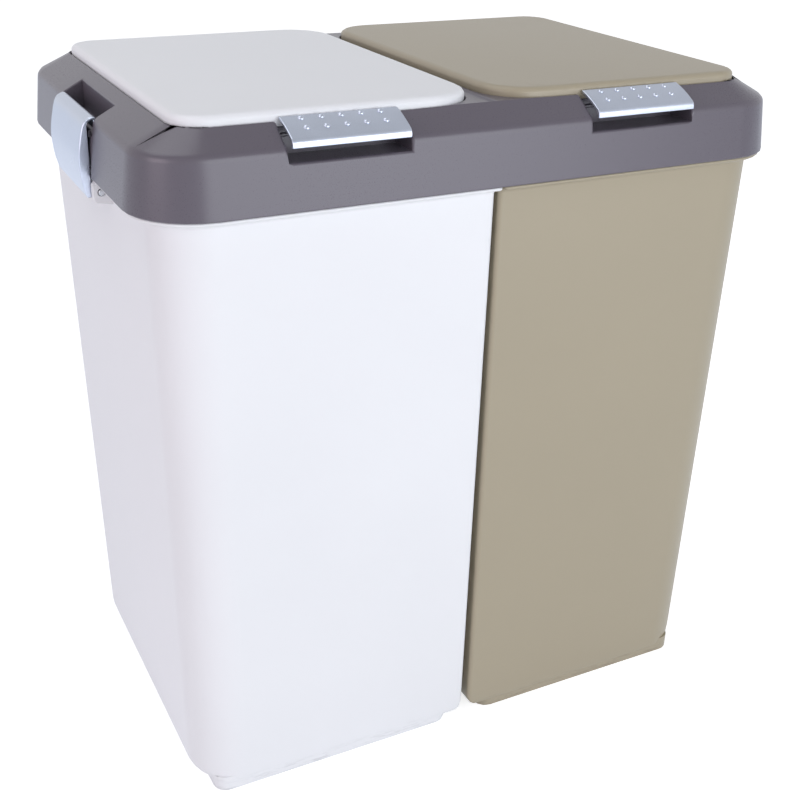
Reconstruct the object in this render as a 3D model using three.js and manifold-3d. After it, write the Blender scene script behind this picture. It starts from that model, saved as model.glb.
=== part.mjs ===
// A double recycling bin: a white bucket and a tan bucket stand side by side under one grey
// frame that rests on both rims. Each bucket has its own hinged lid with a silver catch plate
// at the front, and a silver latch on each side clips the frame down.
//
// Millimetres. The origin is on the floor, in the middle of the bin. +X runs across the pair,
// from the white bucket to the tan one, +Y runs to the back and +Z up. Every piece of the
// right half is drawn on the +X side, and the left half is its mirror image.

import * as THREE from 'three';
import { mergeVertices } from 'three/addons/utils/BufferGeometryUtils.js';
import Module from 'manifold-3d';

const wasm = await Module();
wasm.setup();

// ---------------------------------------------------------------------------
// Driving dimensions
// ---------------------------------------------------------------------------

// The whole bin, measured round the lower edge of the frame's skirt.
const overallWidth = 520;
const overallDepth = 358;
const bucketHeight = 484.7;

// Clearances.
const seatGap = 0.3; // between parts that rest on each other
const lidGap = 1.2; // round each lid
const pinGap = 0.3; // round each pin in its bore
const sideGap = 0.6; // beside each hinge knuckle and lug
const swingGap = 0.8; // under each hinge knuckle

// Buckets. The insets run from the skirt's lower edge in to the wall at the rim, and the
// tapers are in millimetres of lean per millimetre of height.
const wallInsetSide = 13;
const wallInsetFront = 10.5;
const wallInsetBack = 10.5;
const seamGap = 3; // between the two buckets' walls at the rim
const taperSide = 0.011;
const taperSeam = 0.003;
const taperFront = 0.012;
const taperBack = 0.045;
const bucketWall = 2.4;
const bucketFloor = 3;
const bucketCorner = 38;
const bucketSeamCorner = 4;
const bottomRound = 10;
const frontEdgeRound = 0.8;
const rimThickness = 2.6;
const rimSetback = 2; // from the skirt's edge in to the rim's edge
const rimSeamGap = 1; // between the two rims
const rimSeamCorner = 3;
const rimFillet = 4; // under the rim
const rimEdge = 0.7; // rounding of the rim's edge
const footHeight = 9;
const footInsetSide = 13;
const footInsetFront = 1.6;
const footCorner = 12;
const footEdge = 1;
const footRing = 16; // width of the ring that the bucket stands on
const footRecess = 1.6;

// Top frame.
const skirtHeight = 41;
const skirtLeanSide = 5;
const skirtLeanFront = 4;
const skirtCorner = 50;
const slopeRise = 14;
const slopeWidthSide = 27.5;
const slopeWidthFront = 22;
const slopeWidthBack = 26;
const creaseRadius = 4;
const frameWall = 2.5;
const middleBar = 14; // between the two lids
const ledgeWidth = 9;
const ledgeDepth = 4.4; // below the frame's top
const collarReach = 12; // down inside each bucket
const collarGap = 1;
const collarWall = 2.2;
const frameRib = 2;
const frameRibPitch = 62;
const frameRibGap = 2; // above the rims

// Lids.
const lidProud = 6.5; // above the frame's top
const lidCorner = 22;
const lidInnerCorner = 36; // beside the middle bar
const lidWall = 2.3;
const lidSkin = 2.4;
const lidShoulder = 5; // width of the rounded shoulder round the lid's top
const lidShoulderDrop = 4;
const tongueDepth = 8; // below the lid's edge, into the frame's opening
const tongueWall = 1.8;
const tongueGap = 1.5;
const lidRib = 1.8;
const lidRibDepth = 4.6;
const lidRibCount = 3;

// Lid hinges: two knuckles on each lid between cheeks on the frame.
const hingeSpread = 140;
const knuckleRadius = 4.4;
const knuckleWidth = 22;
const cheekRadius = 5;
const cheekWidth = 5;
const hingeDrop = 1.5; // axis below the frame's top
const lidPinRadius = 2;

// Catch plates and the finger notches under them.
const plateWidth = 85;
const plateThickness = 2.2;
const plateRearGap = 1.5; // in front of the lid
const plateRearRise = 2.6; // above the frame's top
const plateFall = 9.2; // from the rear edge down to the lip
const plateCrown = 0.8;
const plateNose = 2.8; // rounding over the lip
const lipHeight = 6.4;
const plateProud = 3.5; // lip in front of the crease
const notchGap = 1.9; // beside the plate
const fingerGap = 10; // below the lip
const notchDepth = 3; // in behind the lid's front face
const lugSpread = 40;
const lugWidth = 4;
const lugRadius = 2.6;
const heelDepth = 10; // below the plate's pivot
const heelThickness = 2.4;
const keeperReach = 1.2;
const keeperHeight = 2;
const keeperGap = 0.4;
const platePinRadius = 1.1;
const platePinSetback = 3.5; // in front of the lid
const platePinDrop = 3.8; // below the frame's top
const dotRadius = 1.7;
const dotHeight = 0.8;
const dotPitch = 14.2;
const dotRowPitch = 9.6;
const dotCount = 5;
const dotRows = 2;
const dotFirstRow = 3.6; // in front of the plate's rear edge

// Side latches.
const latchWidth = 90;
const latchThickness = 2.4;
const latchHeight = 56.8;
const latchDrop = 12.7; // top of the hook below the frame's top
const latchBulge = 6.5; // beyond the skirt's edge
const hookInset = 8.5; // back of the hook inside the skirt's edge
const hookDepth = 8.8;
const hookRound = 3.6;
const flangeWidth = 2.2;
const eyeRadius = 5.2;
const pocketGap = 3; // beside the latch
const pocketInset = 21.4; // inner wall of the pocket inside the skirt's edge
const pocketDrop = 26; // floor of the pocket below the frame's top
const ledgeInset = 2.4; // outer edge of the pocket's floor inside the skirt's edge
const beadWidth = 2.8;
const beadHeight = 3.8;
const latchPinRadius = 2.5;
const latchPinInset = 5.7; // inside the skirt's edge
const latchPinDrop = 8.7; // below the rim's top
const earWidth = 7.3;
const earReach = 5.8; // beyond the pin's axis
const earDepth = 7.6; // below the pin's axis
const earGap = 1;

// ---------------------------------------------------------------------------
// Places worked out from the dimensions
// ---------------------------------------------------------------------------

const halfWidth = overallWidth / 2;
const halfDepth = overallDepth / 2;
const rimBottom = bucketHeight - rimThickness;
const skirtBottom = bucketHeight + seatGap;
const creaseZ = skirtBottom + skirtHeight;
const frameTop = creaseZ + slopeRise;
const ledgeTop = frameTop - ledgeDepth;
const lidBottom = ledgeTop + seatGap;
const lidTop = frameTop + lidProud;
const lidBox = {
  x0: middleBar / 2,
  x1: halfWidth - skirtLeanSide - slopeWidthSide,
  y0: -(halfDepth - skirtLeanFront - slopeWidthFront),
  y1: halfDepth - skirtLeanFront - slopeWidthBack,
};
const lidCentre = (lidBox.x0 + lidBox.x1) / 2;
const hingeY = lidBox.y1 + lidGap + cheekRadius;
const hingeZ = frameTop - hingeDrop;
const knuckleCentres = [lidCentre - hingeSpread / 2, lidCentre + hingeSpread / 2];
const hingeHalf = knuckleWidth / 2 + sideGap + cheekWidth;
const platePinY = lidBox.y0 - platePinSetback;
const platePinZ = frameTop - platePinDrop;
const plateRear = { y: lidBox.y0 - plateRearGap, z: frameTop + plateRearRise };
const lipFront = -(halfDepth - skirtLeanFront + plateProud);
const lipTop = plateRear.z - plateFall;
const lipBottom = lipTop - lipHeight;
const notchHalf = plateWidth / 2 + notchGap;
const notchFloor = lipBottom - fingerGap;
const notchBack = lidBox.y0 + notchDepth;
const pocketHalf = latchWidth / 2 + pocketGap;
const pocketFloor = frameTop - pocketDrop;
const pocketInner = halfWidth - pocketInset;
const ledgeOuter = halfWidth - ledgeInset;
const latchPinX = halfWidth - latchPinInset;
const latchPinZ = bucketHeight - latchPinDrop;
const latchTop = frameTop - latchDrop;
const latchBottom = latchTop - latchHeight;
const earNear = latchWidth / 2 + earGap;
const earFar = earNear + earWidth;
const overcut = 1; // how far a cutting body runs past the face it cuts

// ---------------------------------------------------------------------------
// Solids
// ---------------------------------------------------------------------------

/** Turns a closed geometry into a solid that can be cut and joined. */
function solid(geometry) {
  const bare = geometry.clone();
  bare.deleteAttribute('normal');
  bare.deleteAttribute('uv');
  const merged = mergeVertices(bare, 1e-4);
  return new wasm.Manifold(new wasm.Mesh({
    numProp: 3,
    vertProperties: new Float32Array(merged.attributes.position.array),
    triVerts: new Uint32Array(merged.index.array),
  }));
}

/** Turns a solid back into a geometry for a mesh. */
function toGeometry(body) {
  const mesh = body.getMesh();
  const geometry = new THREE.BufferGeometry();
  geometry.setAttribute('position', new THREE.BufferAttribute(mesh.vertProperties, 3));
  geometry.setIndex(new THREE.BufferAttribute(mesh.triVerts, 1));
  geometry.computeVertexNormals();
  return geometry;
}

/** The body's mirror image on the other side of the bin. */
function mirrored(body) {
  return body.mirror([1, 0, 0]);
}

/** All the bodies joined into one. */
function joined(bodies) {
  return bodies.reduce((whole, body) => whole.add(body));
}

/** A plan rectangle moved out on all four sides, or in where the distance is negative. */
function grown({ x0, x1, y0, y1 }, by) {
  return { x0: x0 - by, x1: x1 + by, y0: y0 - by, y1: y1 + by };
}

/** Anticlockwise outline of a plan rectangle, with its own radius and arc steps per corner. */
function roundedRect({ x0, x1, y0, y1 }, radii, steps) {
  const [frontLeft, frontRight, backRight, backLeft] = radii.map((r) => Math.max(r, 0.2));
  const corners = [
    [x0 + frontLeft, y0 + frontLeft, frontLeft],
    [x1 - frontRight, y0 + frontRight, frontRight],
    [x1 - backRight, y1 - backRight, backRight],
    [x0 + backLeft, y1 - backLeft, backLeft],
  ];
  return corners.flatMap(([x, y, radius], i) => {
    const start = Math.PI * (1 + i / 2);
    const arc = new THREE.EllipseCurve(x, y, radius, radius, start, start + Math.PI / 2);
    return arc.getPoints(steps[i]);
  });
}

/** Closed body through a stack of outlines with equal point counts, from the lowest up. */
function loft(rings) {
  const count = rings[0].points.length;
  const positions = rings.flatMap(({ z, points }) => points.flatMap((p) => [p.x, p.y, z]));
  const index = [];
  for (let ring = 0; ring + 1 < rings.length; ring += 1) {
    for (let i = 0; i < count; i += 1) {
      const a = ring * count + i;
      const b = ring * count + ((i + 1) % count);
      index.push(a, b, b + count, a, b + count, a + count);
    }
  }
  const last = (rings.length - 1) * count;
  for (const [i, j, k] of THREE.ShapeUtils.triangulateShape(rings[0].points, [])) {
    index.push(k, j, i);
  }
  for (const [i, j, k] of THREE.ShapeUtils.triangulateShape(rings.at(-1).points, [])) {
    index.push(last + i, last + j, last + k);
  }
  const geometry = new THREE.BufferGeometry();
  geometry.setAttribute('position', new THREE.Float32BufferAttribute(positions, 3));
  geometry.setIndex(index);
  return solid(geometry);
}

/** Outline of the right lid at a height, moved out by a distance, or in where it is negative. */
function lidOutline(z, by) {
  const inner = lidInnerCorner + by;
  const outer = lidCorner + by;
  return { z, points: roundedRect(grown(lidBox, by), [inner, outer, outer, inner], [6, 5, 5, 6]) };
}

/** Upright body on the right lid's outline, moved out or in by a distance. */
function lidColumn(by, [z0, z1]) {
  return loft([lidOutline(z0, by), lidOutline(z1, by)]);
}

/** Block between two corners. */
function block([x0, x1], [y0, y1], [z0, z1]) {
  const geometry = new THREE.BoxGeometry(x1 - x0, y1 - y0, z1 - z0);
  geometry.translate((x0 + x1) / 2, (y0 + y1) / 2, (z0 + z1) / 2);
  return solid(geometry);
}

/** Profile of [y, z] points pulled along X. */
function alongX(profile, [x0, x1]) {
  const shape = new THREE.Shape(profile.map(([y, z]) => new THREE.Vector2(y, z)));
  const geometry = new THREE.ExtrudeGeometry(shape, { depth: x1 - x0, bevelEnabled: false });
  geometry.applyMatrix4(new THREE.Matrix4().makeBasis(
    new THREE.Vector3(0, 1, 0),
    new THREE.Vector3(0, 0, 1),
    new THREE.Vector3(1, 0, 0),
  ));
  geometry.translate(x0, 0, 0);
  return solid(geometry);
}

/** Profile of [x, z] points pulled along Y. */
function alongY(profile, [y0, y1]) {
  const shape = new THREE.Shape(profile.map(([x, z]) => new THREE.Vector2(x, z)));
  const geometry = new THREE.ExtrudeGeometry(shape, { depth: y1 - y0, bevelEnabled: false });
  geometry.rotateX(Math.PI / 2);
  geometry.translate(0, y1, 0);
  return solid(geometry);
}

/** Round bar along X. */
function barX(radius, [x0, x1], y, z, sides = 16) {
  const geometry = new THREE.CylinderGeometry(radius, radius, x1 - x0, sides);
  geometry.rotateZ(Math.PI / 2);
  geometry.translate((x0 + x1) / 2, y, z);
  return solid(geometry);
}

/** Round bar along Y. */
function barY(radius, [y0, y1], x, z, sides = 20) {
  const geometry = new THREE.CylinderGeometry(radius, radius, y1 - y0, sides);
  geometry.translate(x, (y0 + y1) / 2, z);
  return solid(geometry);
}

/** Points of a curve with one control point, as [a, b] pairs. */
function bend([a, b, c], count) {
  const [p, q, r] = [a, b, c].map((point) => new THREE.Vector2(...point));
  return new THREE.QuadraticBezierCurve(p, q, r).getPoints(count).map((v) => [v.x, v.y]);
}

/** Points of a smooth curve through the given points, as [a, b] pairs. */
function smooth(points, count) {
  const curve = new THREE.SplineCurve(points.map((point) => new THREE.Vector2(...point)));
  return curve.getPoints(count).map((v) => [v.x, v.y]);
}

/** Closed strip of even thickness, on the left of the line. */
function strip(line, thickness) {
  const back = line.map(([a, b], i) => {
    const [pa, pb] = line[Math.max(i - 1, 0)];
    const [na, nb] = line[Math.min(i + 1, line.length - 1)];
    const length = Math.hypot(na - pa, nb - pb);
    return [a - ((nb - pb) / length) * thickness, b + ((na - pa) / length) * thickness];
  });
  return [...line, ...back.reverse()];
}

// ---------------------------------------------------------------------------
// Buckets
// ---------------------------------------------------------------------------

const bucketSteps = [3, 7, 7, 3];

/** Outline of the bucket's wall at a height, moved in on each side by its own distance. */
function wallRing(z, { side = 0, seam = side, front = side, back = side } = {}) {
  const drop = bucketHeight - z;
  const box = {
    x0: seamGap / 2 + taperSeam * drop + seam,
    x1: halfWidth - wallInsetSide - taperSide * drop - side,
    y0: -(halfDepth - wallInsetFront - taperFront * drop - front),
    y1: halfDepth - wallInsetBack - taperBack * drop - back,
  };
  const outer = bucketCorner - side;
  const inner = bucketSeamCorner - seam;
  return { z, points: roundedRect(box, [inner, outer, outer, inner], bucketSteps) };
}

/** Outline of the rim's edge, moved in by a distance. */
function rimRing(z, inset) {
  const box = grown({
    x0: rimSeamGap / 2,
    x1: halfWidth - rimSetback,
    y0: -(halfDepth - rimSetback),
    y1: halfDepth - rimSetback,
  }, -inset);
  const outer = skirtCorner - rimSetback - inset;
  const inner = rimSeamCorner - inset;
  return { z, points: roundedRect(box, [inner, outer, outer, inner], bucketSteps) };
}

/** Outline of the foot, moved in by a distance. */
function footOutline(z, inset) {
  const drop = bucketHeight - footHeight;
  const box = grown({
    x0: seamGap / 2 + taperSeam * drop + footInsetSide,
    x1: halfWidth - wallInsetSide - taperSide * drop - footInsetSide,
    y0: -(halfDepth - wallInsetFront - taperFront * drop - footInsetFront),
    y1: halfDepth - wallInsetBack - taperBack * drop - footInsetFront,
  }, -inset);
  const radius = footCorner - inset;
  return { z, points: roundedRect(box, [radius, radius, radius, radius], bucketSteps) };
}

/** Rings of the rounded bottom edge, for a wall moved in by a distance. */
function bottomRings(z, inset, radius) {
  return [0, 1, 2, 3, 4].map((i) => {
    const angle = (i / 4) * (Math.PI / 2);
    const reach = 1 - Math.sin(angle);
    const sides = inset + radius * reach;
    const ends = inset + frontEdgeRound * reach;
    const at = z + radius * (1 - Math.cos(angle));
    return wallRing(at, { side: sides, seam: sides, front: ends, back: ends });
  });
}

/** Ear that holds one end of the latch's pin, from the wall out past the pin. */
function makeEar(span) {
  const wallX = halfWidth - wallInsetSide - bucketWall / 2;
  const outerX = latchPinX + earReach;
  const bottom = latchPinZ - earDepth;
  const top = bucketHeight - rimThickness / 2;
  return alongY([
    [wallX, bottom - 2],
    [outerX - 2, bottom],
    [outerX, bottom + 2],
    [outerX, top - rimThickness],
    [halfWidth - rimSetback - rimEdge, top],
    [wallX, top],
  ], span);
}

function makeBucket() {
  const seamReach = Math.max((seamGap - rimSeamGap) / 2 - rimEdge, 0) / 2;
  const fillet = (share) => wallRing(rimBottom - rimFillet * (1 - share) ** 2, {
    side: -rimFillet * share,
    seam: -Math.min(rimFillet, seamReach) * share,
  });
  const outside = loft([
    ...bottomRings(footHeight, 0, bottomRound),
    fillet(0),
    fillet(0.35),
    fillet(1),
    rimRing(rimBottom, rimEdge),
    rimRing(rimBottom + rimEdge, 0),
    rimRing(bucketHeight - rimEdge, 0),
    rimRing(bucketHeight, rimEdge),
  ]);
  const foot = loft([
    footOutline(0, footEdge),
    footOutline(footEdge, 0),
    footOutline(footHeight + bottomRound / 2, 0),
  ]);
  const inside = loft([
    ...bottomRings(footHeight + bucketFloor, bucketWall, bottomRound - bucketWall),
    wallRing(bucketHeight + overcut, { side: bucketWall }),
  ]);
  const footInside = loft([
    footOutline(footRecess + bucketFloor, bucketWall),
    footOutline(footHeight + bucketFloor + overcut, bucketWall),
  ]);
  const recess = loft([footOutline(-overcut, footRing), footOutline(footRecess, footRing)]);
  const ears = [makeEar([earNear, earFar]), makeEar([-earFar, -earNear])];
  const pinBore = barY(latchPinRadius + pinGap, [-earFar - overcut, earFar + overcut], latchPinX, latchPinZ);
  return joined([outside, foot])
    .subtract(inside)
    .subtract(footInside)
    .subtract(recess)
    .add(joined(ears))
    .subtract(pinBore);
}

// ---------------------------------------------------------------------------
// Top frame
// ---------------------------------------------------------------------------

const frameSteps = [7, 7, 7, 7];
const skirtFoot = { z: skirtBottom, side: 0, front: 0, back: 0, radius: skirtCorner };
const crease = {
  z: creaseZ,
  side: skirtLeanSide,
  front: skirtLeanFront,
  back: skirtLeanFront,
  radius: skirtCorner - skirtLeanSide,
};
const brow = {
  z: frameTop,
  side: skirtLeanSide + slopeWidthSide - lidGap,
  front: skirtLeanFront + slopeWidthFront - lidGap,
  back: skirtLeanFront + slopeWidthBack - lidGap,
  radius: lidCorner + lidGap,
};

/** A station part of the way from one to another. */
function between(from, to, share) {
  const mixed = Object.keys(from).map((key) => [key, from[key] + (to[key] - from[key]) * share]);
  return Object.fromEntries(mixed);
}

/** Outline of the frame at a station, moved in and down. */
function frameRing({ z, side, front, back, radius }, inward = 0, down = 0) {
  const box = {
    x0: -(halfWidth - side - inward),
    x1: halfWidth - side - inward,
    y0: -(halfDepth - front - inward),
    y1: halfDepth - back - inward,
  };
  const corner = radius - inward;
  return { z: z - down, points: roundedRect(box, [corner, corner, corner, corner], frameSteps) };
}

/** Stations from the skirt's foot over the rounded crease to a height on the slope. */
function frameStations(endZ) {
  const before = between(skirtFoot, crease, 1 - creaseRadius / skirtHeight);
  const after = between(crease, brow, creaseRadius / 2 / slopeRise);
  const rounded = [0, 0.25, 0.5, 0.75, 1].map((share) => (
    between(between(before, crease, share), between(crease, after, share), share)
  ));
  return [skirtFoot, ...rounded, between(crease, brow, (endZ - creaseZ) / slopeRise)];
}

/** Collar that reaches down inside the right bucket. */
function makeCollar() {
  const bottom = bucketHeight - collarReach;
  const ring = (z, inset) => ({ z, points: wallRing(bottom, { side: bucketWall + inset }).points });
  const outer = loft([ring(bottom, collarGap), ring(frameTop, collarGap)]);
  const bore = collarGap + collarWall;
  return outer.subtract(loft([ring(bottom - overcut, bore), ring(frameTop + overcut, bore)]));
}

/** Stiffening ribs between the skirt and the collars. */
function makeFrameRibs() {
  const levels = [skirtBottom + frameRibGap, frameTop];
  const collarInset = bucketWall + collarGap + collarWall / 2;
  const collarDrop = collarReach;
  const frontY = halfDepth - wallInsetFront - taperFront * collarDrop - collarInset;
  const backY = halfDepth - wallInsetBack - taperBack * collarDrop - collarInset;
  const sideX = halfWidth - wallInsetSide - taperSide * collarDrop - collarInset;
  const ribs = [];
  for (let x = frameRibPitch / 2; x < halfWidth - skirtCorner; x += frameRibPitch) {
    const span = [x - frameRib / 2, x + frameRib / 2];
    ribs.push(block(span, [-halfDepth, -frontY], levels), block(span, [backY, halfDepth], levels));
  }
  const firstY = pocketHalf + frameWall + frameRibPitch / 2;
  for (let y = firstY; y < halfDepth - skirtCorner; y += frameRibPitch) {
    for (const at of [-y, y]) {
      ribs.push(block([sideX, halfWidth], [at - frameRib / 2, at + frameRib / 2], levels));
    }
  }
  return joined(ribs);
}

/** Cheeks, bosses and slots of one lid hinge, as material to add and to cut. */
function makeHingeSeat(centre) {
  const span = [centre - hingeHalf, centre + hingeHalf];
  const slot = [centre - knuckleWidth / 2 - sideGap, centre + knuckleWidth / 2 + sideGap];
  const wallY = lidBox.y1 + lidGap;
  const slotRadius = knuckleRadius + swingGap;
  const floor = hingeZ - slotRadius;
  const above = frameTop + lidProud;
  const boss = block(span, [wallY, hingeY + slotRadius + frameWall], [floor - frameWall, frameTop]);
  const cheeks = barX(cheekRadius, span, hingeY, hingeZ)
    .add(block(span, [hingeY - cheekRadius, hingeY + cheekRadius], [floor, hingeZ]));
  const cuts = joined([
    block(slot, [wallY - 2 * overcut, hingeY + slotRadius], [floor, above]),
    barX(lidPinRadius + pinGap, [span[0] - overcut, span[1] + overcut], hingeY, hingeZ, 12),
  ]);
  return { boss, cheeks, cuts };
}

/** Seat of the right latch: the wall behind it, the pocket's floor with its bead, the pocket. */
function makePocket() {
  const half = pocketHalf + frameWall;
  const bead = alongY([
    [ledgeOuter - beadWidth, pocketFloor - overcut],
    [ledgeOuter, pocketFloor - overcut],
    [ledgeOuter, pocketFloor + beadHeight / 2],
    [ledgeOuter - beadWidth / 3, pocketFloor + beadHeight],
    [ledgeOuter - beadWidth * 0.8, pocketFloor + beadHeight],
    [ledgeOuter - beadWidth, pocketFloor],
  ], [-latchWidth / 2 + pocketGap, latchWidth / 2 - pocketGap]);
  return {
    body: joined([
      block([pocketInner - frameWall, halfWidth], [-half, half], [pocketFloor - frameWall, frameTop]),
      block([ledgeOuter - frameWall, halfWidth], [-half, half], [skirtBottom, pocketFloor]),
    ]),
    cuts: joined([
      block([pocketInner, halfWidth + overcut], [-pocketHalf, pocketHalf], [pocketFloor, frameTop]),
      block([ledgeOuter, halfWidth + overcut], [-pocketHalf, pocketHalf], [skirtBottom - overcut, frameTop]),
    ]),
    bead,
  };
}

/** Finger notch in front of the right lid: its tub, the space cut out of it and the keeper. */
function makeNotch() {
  const wide = [lidCentre - notchHalf - frameWall, lidCentre + notchHalf + frameWall];
  const space = [lidCentre - notchHalf, lidCentre + notchHalf];
  const keeperZ = platePinZ - heelDepth + keeperHeight;
  return {
    body: block(wide, [-halfDepth, notchBack + frameWall], [notchFloor - frameWall, frameTop]),
    cuts: block(space, [-halfDepth - overcut, notchBack], [notchFloor, frameTop + overcut]),
    keeper: alongX([
      [notchBack + frameWall / 2, keeperZ],
      [notchBack, keeperZ],
      [notchBack - keeperReach, keeperZ + keeperHeight / 2],
      [notchBack - keeperReach, keeperZ + keeperHeight],
      [notchBack, keeperZ + keeperHeight * 1.5],
      [notchBack + frameWall / 2, keeperZ + keeperHeight * 1.5],
    ], [lidCentre - lugSpread, lidCentre + lugSpread]),
  };
}

function makeFrame() {
  const outside = loft(frameStations(frameTop).map((station) => frameRing(station)));
  const slopeAngle = Math.atan(slopeRise / slopeWidthFront);
  const slopeDrop = (frameWall * (1 - Math.sin(slopeAngle))) / Math.cos(slopeAngle);
  const innerStations = frameStations(frameTop - frameWall + slopeDrop);
  const inside = loft([
    frameRing({ ...skirtFoot, z: skirtBottom - overcut }, frameWall),
    ...innerStations.slice(1).map((station, i) => frameRing(station, frameWall, i === 0 ? 0 : slopeDrop)),
  ]);
  const recessTub = lidColumn(lidGap + frameWall, [ledgeTop - frameWall, frameTop]);
  const recess = lidColumn(lidGap, [ledgeTop, frameTop + overcut]);
  const opening = lidColumn(lidGap - ledgeWidth, [skirtBottom - collarReach - overcut, frameTop]);
  const hinges = knuckleCentres.map(makeHingeSeat);
  const pocket = makePocket();
  const notch = makeNotch();
  const belowSkirt = block(
    [0, halfWidth],
    [-halfDepth, halfDepth],
    [bucketHeight - collarReach, skirtBottom],
  );
  const added = joined([
    recessTub,
    makeCollar(),
    makeFrameRibs(),
    pocket.body,
    notch.body,
    ...hinges.map((hinge) => hinge.boss),
  ]).intersect(outside.add(belowSkirt));
  const cuts = joined([recess, opening, pocket.cuts, notch.cuts]);
  const details = joined([notch.keeper, pocket.bead, ...hinges.map((hinge) => hinge.cheeks)]);
  const rightHalf = outside
    .subtract(inside)
    .add(added)
    .subtract(cuts)
    .add(details)
    .subtract(joined(hinges.map((hinge) => hinge.cuts)))
    .trimByPlane([1, 0, 0], 0);
  return rightHalf.add(mirrored(rightHalf));
}

// ---------------------------------------------------------------------------
// Lids
// ---------------------------------------------------------------------------

/** Knuckle that turns on the hinge pin, joined to the lid's back edge. */
function makeKnuckle(centre) {
  const span = [centre - knuckleWidth / 2, centre + knuckleWidth / 2];
  return alongX([
    [lidBox.y1 - lidWall, lidBottom + seatGap],
    [hingeY, hingeZ - knuckleRadius + seatGap],
    [hingeY, hingeZ + knuckleRadius - seatGap],
    [lidBox.y1 - lidWall, lidTop - lidShoulderDrop + seatGap],
  ], span).add(barX(knuckleRadius, span, hingeY, hingeZ));
}

/** Lug on the lid's front face that carries one end of the catch plate's pin. */
function makeLidLug(side) {
  const near = lugSpread / 2 + lugWidth / 2 + sideGap;
  const ends = [lidCentre + side * near, lidCentre + side * (near + lugWidth)].sort((a, b) => a - b);
  return barX(lugRadius, ends, platePinY, platePinZ)
    .add(block(ends, [platePinY, lidBox.y0 + lidWall / 2], [lidBottom, platePinZ + lugRadius]));
}

/** Ribs under the lid's skin, in both directions. */
function makeLidRibs() {
  const levels = [lidTop - lidSkin - lidRibDepth, lidTop - lidSkin * 0.8];
  const ribs = [];
  for (let i = 1; i <= lidRibCount; i += 1) {
    const share = i / (lidRibCount + 1);
    const x = lidBox.x0 + (lidBox.x1 - lidBox.x0) * share;
    const y = lidBox.y0 + (lidBox.y1 - lidBox.y0) * share;
    ribs.push(block([x - lidRib / 2, x + lidRib / 2], [lidBox.y0 + lidWall / 2, lidBox.y1 - lidWall / 2], levels));
    ribs.push(block([lidBox.x0 + lidWall / 2, lidBox.x1 - lidWall / 2], [y - lidRib / 2, y + lidRib / 2], levels));
  }
  return joined(ribs);
}

function makeLid() {
  const shoulder = [0, 1, 2, 3, 4].map((i) => {
    const angle = (i / 4) * (Math.PI / 2);
    return lidOutline(
      lidTop - lidShoulderDrop * (1 - Math.sin(angle)),
      -lidShoulder * (1 - Math.cos(angle)),
    );
  });
  const outside = loft([lidOutline(lidBottom, 0), ...shoulder]);
  const inside = loft([
    lidOutline(lidBottom - overcut, -lidWall),
    lidOutline(lidTop - lidShoulderDrop - lidSkin / 2, -lidWall),
    lidOutline(lidTop - lidSkin, -lidShoulder),
  ]);
  const tongueInset = ledgeWidth - lidGap + tongueGap;
  const tongueLevels = [lidBottom - tongueDepth, lidTop - lidSkin / 2];
  const tongue = lidColumn(-tongueInset, tongueLevels)
    .subtract(lidColumn(-tongueInset - tongueWall, [tongueLevels[0] - overcut, tongueLevels[1] + overcut]));
  const bores = knuckleCentres.map((centre) => (
    barX(lidPinRadius + pinGap, [centre - hingeHalf, centre + hingeHalf], hingeY, hingeZ, 12)
  ));
  const lugBore = barX(
    platePinRadius + pinGap,
    [lidCentre - plateWidth / 2, lidCentre + plateWidth / 2],
    platePinY,
    platePinZ,
    10,
  );
  return joined([
    outside.subtract(inside),
    tongue,
    makeLidRibs(),
    ...knuckleCentres.map(makeKnuckle),
    makeLidLug(-1),
    makeLidLug(1),
  ]).subtract(joined([...bores, lugBore]));
}

// ---------------------------------------------------------------------------
// Catch plates
// ---------------------------------------------------------------------------

/** Height of the plate's upper face at a distance in front of its rear edge. */
function plateLine() {
  const rear = [plateRear.y, plateRear.z];
  const front = [lipFront + plateNose, lipTop];
  const middle = [(rear[0] + front[0]) / 2, (rear[1] + front[1]) / 2 + 2 * plateCrown];
  const top = bend([rear, middle, front], 6);
  const slope = (front[1] - middle[1]) / (front[0] - middle[0]);
  const corner = [lipFront, lipTop - slope * plateNose];
  const nose = bend([front, corner, [lipFront, corner[1] - plateNose]], 5).slice(1);
  return [...top, ...nose, [lipFront, lipBottom]];
}

/** Small raised dots in rows on the plate. */
function makeDots(line) {
  const dome = new THREE.LatheGeometry([
    new THREE.Vector2(0, -dotHeight),
    new THREE.Vector2(dotRadius, -dotHeight),
    new THREE.Vector2(dotRadius, 0),
    new THREE.Vector2(dotRadius * 0.7, dotHeight * 0.7),
    new THREE.Vector2(0, dotHeight),
  ], 6);
  dome.rotateX(Math.PI / 2);
  const [first, last] = [line[0], line[6]];
  const fall = Math.atan2(first[1] - last[1], first[0] - last[0]);
  const dots = [];
  for (let row = 0; row < dotRows; row += 1) {
    const y = plateRear.y - dotFirstRow - row * dotRowPitch;
    const next = line.findIndex(([at]) => at < y);
    const [[ya, za], [yb, zb]] = [line[next - 1], line[next]];
    const z = za + ((y - ya) / (yb - ya)) * (zb - za);
    for (let i = 0; i < dotCount; i += 1) {
      const dot = dome.clone();
      dot.rotateX(fall);
      dot.translate(lidCentre + (i - (dotCount - 1) / 2) * dotPitch, y, z);
      dots.push(solid(dot));
    }
  }
  return joined(dots);
}

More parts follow.
